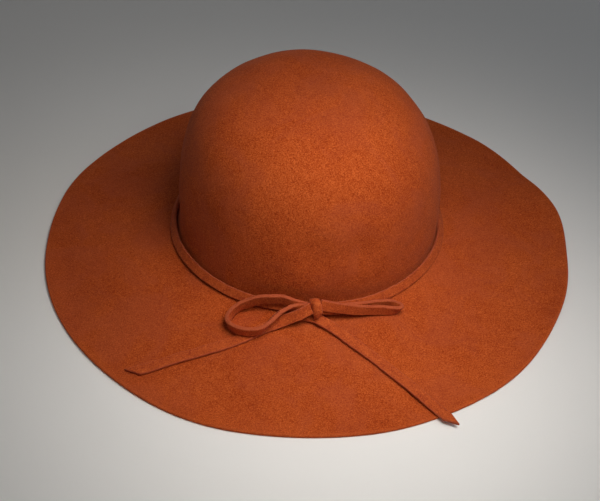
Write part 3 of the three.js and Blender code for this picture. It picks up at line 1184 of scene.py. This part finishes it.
@dataclass
class Knot:
    """The lace wrapped once round the middle of the bow."""

    stock: LaceStock
    band: Band
    azimuth: float = -85.8
    height: float = 0.0126
    depth: float = 0.0098
    rise: float = 0.0026
    clear: float = 0.0003
    squareness: float = 2.9
    narrowing: float = 0.92
    pinch: float = 0.11
    top_lift: float = -0.0014
    foot_lift: float = 0.0016
    drop: float = 0.0054
    drift: float = 0.0011
    pillow: float = 0.0005
    left_roll: float = 0.0022
    foot_span: Span = (-0.1, 1.0)
    top_span: Span = (0.2, 1.0)
    front_span: Span = (-0.2, 0.6)
    roll_span: Span = (0.35, 1.15)
    rough: Lumps = Lumps(0.0030, 0.0003, 9.4)
    steps: int = 84

    def directions(self) -> tuple[np.ndarray, np.ndarray, np.ndarray, np.ndarray]:
        """Where the knot is and how it faces.

        Returns:
            Its centre, and the directions outward, up the lace and along the band.
        """
        angle = math.radians(self.azimuth)
        radial = np.array([math.cos(angle), math.sin(angle), 0.0])
        upright = np.array([0.0, 0.0, 1.0])
        lean = math.radians(self.band.lean) - self.band.tilt
        outward = radial * math.cos(lean) + upright * math.sin(lean)
        up = upright * math.cos(lean) - radial * math.sin(lean)
        along = np.array([-radial[1], radial[0], 0.0])
        middle = radial * self.band.radius + upright * self.band.height
        middle = middle + outward * (self.stock.thickness / 2 + self.clear + self.depth / 2)
        return middle + up * self.rise, outward, up, along

    def build(self, axis: Vector, material: bpy.types.Material) -> bpy.types.Object:
        """Makes the wrap, one turn of lace with its lower left corner drawn down.

        Args:
            axis: Where the crown's axis stands.
            material: The lace's finish.

        Returns:
            The knot.
        """
        middle, outward, up, along = self.directions()
        half_thick = self.stock.thickness / 2
        turn = np.linspace(0.0, 2 * math.pi, self.steps, endpoint=False)[:, None]
        power = 2 / self.squareness
        out = np.sign(np.cos(turn)) * np.abs(np.cos(turn)) ** power
        rise = np.sign(np.sin(turn)) * np.abs(np.sin(turn)) ** power
        section = self.stock.section()
        side = (section[:, 0] / (self.stock.width / 2))[None, :]
        low = smooth_step(-rise, *self.foot_span)
        high = smooth_step(rise, *self.top_span)
        rolled = smooth_step(out, *self.front_span) * smooth_step(-side, *self.roll_span)
        normal = np.concatenate([out / self.depth, rise / self.height], axis=1)
        normal /= np.linalg.norm(normal, axis=1)[:, None]
        bulge = self.pillow * (1 - side**2) - self.left_roll * rolled
        skin = section[None, :, 1] + bulge
        outs = (self.depth / 2 - half_thick) * out + normal[:, :1] * skin
        ups = (self.height / 2 - half_thick) * rise + normal[:, 1:] * skin
        ups = ups + self.top_lift * high + self.foot_lift * low - self.drop * low * (1 - side) / 2
        wide = self.narrowing - self.pinch * low
        acrosses = section[None, :, 0] * wide - self.drift * rise
        points = (
            middle
            + outs[:, :, None] * outward
            + ups[:, :, None] * up
            + acrosses[:, :, None] * along
        ).reshape(-1, 3)
        rough = self.rough.at(points)
        points = points + outward * rough[:, None] + np.array(axis)
        faces = [quad[::-1] for quad in ring_faces(self.steps, len(section), closed=True)]
        edge = np.tile(section[:, 2], self.steps)
        return mesh_piece("lace_knot", points, faces, edge, material)


# ---- The whole hat ----


@dataclass
class Bow:
    """The knot, its two loops and its two tails."""

    stock: LaceStock
    band: Band
    tilt: float
    left_bulk: float = 1.35
    right_bulk: float = 1.30
    left_slant: float = 1.2
    right_slant: float = 1.1

    def lengths(self) -> dict[str, LaceLength]:
        """The four loose lengths of lace.

        Returns:
            The lengths, by the CAD node that each stands for.
        """
        whole_right = TAIL_RIGHT_LEAD + TAIL_RIGHT
        rows = (
            ("bow_loop_left", "lace_loop_left", LOOP_LEFT, Ending.TUCKED, 0.0, self.left_bulk),
            ("bow_loop_right", "lace_loop_right", LOOP_RIGHT, Ending.TUCKED, 0.0, self.right_bulk),
            ("tail_left", "lace_tail_left", TAIL_LEFT, Ending.CUT, self.left_slant, 1.0),
            ("tail_right", "lace_tail_right", whole_right, Ending.CUT, self.right_slant, 1.0),
        )
        return {
            node: LaceLength(name, route, self.stock, (Ending.TUCKED, end), self.tilt, slant, bulk)
            for node, name, route, end, slant, bulk in rows
        }

    def build(self, axis: Vector, material: bpy.types.Material) -> dict[str, bpy.types.Object]:
        """Makes every piece of the bow.

        Args:
            axis: Where the crown's axis stands.
            material: The lace's finish.

        Returns:
            The pieces, by the CAD node that each stands for.
        """
        made = {node: length.build(axis, material) for node, length in self.lengths().items()}
        made["bow_knot"] = Knot(self.stock, self.band).build(axis, material)
        return made


@dataclass
class Hat:
    """The felt body with its lace."""

    body: FeltBody = field(default_factory=FeltBody)
    stock: LaceStock = field(default_factory=LaceStock)
    lace_finish: FeltLace = field(default_factory=FeltLace)

    def build(self) -> None:
        """Makes all pieces and hangs each on the CAD body in place of the node that it stands for."""
        low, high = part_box("band")
        axis = Vector(((low.x + high.x) / 2, (low.y + high.y) / 2, 0.0))
        felt = self.body.build(axis)
        self.attach(felt, "felt_body", "felt")
        lace = self.lace_finish.material()
        band = Band(self.stock, self.body.tilt)
        self.attach(band.build(axis, lace), "band", "lace")
        for node, piece in Bow(self.stock, band, self.body.tilt).build(axis, lace).items():
            self.attach(piece, node, "lace")

    @staticmethod
    def attach(piece: bpy.types.Object, node: str, slot: str) -> None:
        """Lets a piece ride on the CAD body in place of one node.

        Args:
            piece: The piece.
            node: The CAD node that it stands for.
            slot: The material slot of its finish; not used.
        """
        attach(piece, BODY)
        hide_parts(node)
        LOG.info("%s stands for %s: %d faces", piece.name, node, len(piece.data.polygons))


# ---- Stage ----


@dataclass(frozen=True)
class SoftLight:
    """A round studio light that points at a spot."""

    name: str
    place: tuple[float, float, float]
    aim: tuple[float, float, float]
    size: float
    power: float
    colour: Colour = (1.0, 1.0, 1.0)
    spread: float = 180.0

    def build(self) -> None:
        """Adds the light."""
        lamp = bpy.data.lights.new(self.name, "AREA")
        lamp.shape = "DISK"
        lamp.spread = math.radians(self.spread)
        lamp.size = self.size
        lamp.energy = self.power
        lamp.color = self.colour
        made = bpy.data.objects.new(self.name, lamp)
        made.location = self.place
        look = Vector(self.aim) - Vector(self.place)
        made.rotation_euler = look.to_track_quat("-Z", "Y").to_euler()
        made.visible_camera = False
        bpy.context.scene.collection.objects.link(made)


@dataclass
class Stage:
    """Floor, lights and camera."""

    floor_half: float = 4.0
    floor_drop: float = 0.0002
    sky: float = 0.09
    sky_colour: Colour = (1.0, 0.96, 0.92)
    elevation: float = 40.48
    camera_roll: float = 1.39
    distance: float = 0.9243
    lens: float = 75.9
    sensor: float = 36.0
    clip: Span = (0.01, 50.0)
    aim: tuple[float, float, float] = (-0.0055, -0.0102, 0.0)
    lights: tuple[SoftLight, ...] = (
        SoftLight(
            "key_light", (0.110, -0.22, 0.42), (0.02, -0.125, 0.05), 0.28, 0.39, (1.0, 0.96, 0.90), 82.0
        ),
        SoftLight("front_light", (0.10, -1.60, 0.70), (0.0, 0.0, 0.05), 1.00, 0.8, (1.0, 0.93, 0.84)),
        SoftLight("side_light", (1.10, -0.12, 0.85), (0.0, 0.0, 0.05), 0.80, 1.45, (0.68, 0.84, 1.0)),
        SoftLight("back_light", (-0.45, 1.45, 0.80), (0.0, 0.0, 0.05), 1.00, 1.4),
    )

    def build(self) -> None:
        """Adds everything round the hat."""
        self.add_floor()
        for light in self.lights:
            light.build()
        self.add_sky()
        self.add_camera()

    def add_floor(self) -> None:
        """Adds the pale floor."""
        h = self.floor_half
        corners = np.array([(-h, -h, 0.0), (h, -h, 0.0), (h, h, 0.0), (-h, h, 0.0)])
        corners[:, 2] -= self.floor_drop
        floor = mesh_piece("floor", corners, [(0, 1, 2, 3)], np.zeros(4), FloorFinish().material())

    def add_sky(self) -> None:
        """Adds even light from all round."""
        world = bpy.data.worlds.new("studio")
        world.use_nodes = True
        background = world.node_tree.nodes["Background"]
        background.inputs["Color"].default_value = (*self.sky_colour, 1.0)
        background.inputs["Strength"].default_value = self.sky
        bpy.context.scene.world = world
        bpy.context.scene.view_settings.view_transform = "Standard"

    def add_camera(self) -> None:
        """Adds the camera, above and in front, with its slight roll."""
        rise = math.radians(self.elevation)
        back = Vector((0.0, -math.cos(rise), math.sin(rise)))
        up = Vector((0.0, math.sin(rise), math.cos(rise)))
        right = Vector((1.0, 0.0, 0.0))
        roll = math.radians(self.camera_roll)
        tilted_right = right * math.cos(roll) + up * math.sin(roll)
        tilted_up = up * math.cos(roll) - right * math.sin(roll)
        data = bpy.data.cameras.new("camera")
        data.lens = self.lens
        data.sensor_width = self.sensor
        data.clip_start, data.clip_end = self.clip
        made = bpy.data.objects.new("camera", data)
        turn = Matrix((tilted_right, tilted_up, back)).transposed()
        made.matrix_world = Matrix.Translation(Vector(self.aim) + back * self.distance) @ turn.to_4x4()
        bpy.context.scene.collection.objects.link(made)
        bpy.context.scene.camera = made


def write_sizes() -> None:
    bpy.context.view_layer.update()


def main() -> None:
    """Builds stage and hat."""
    logging.basicConfig(level=logging.INFO, format="%(message)s")
    Stage().build()
    Hat().build()
    write_sizes()


if __name__ == "__main__":
    main()
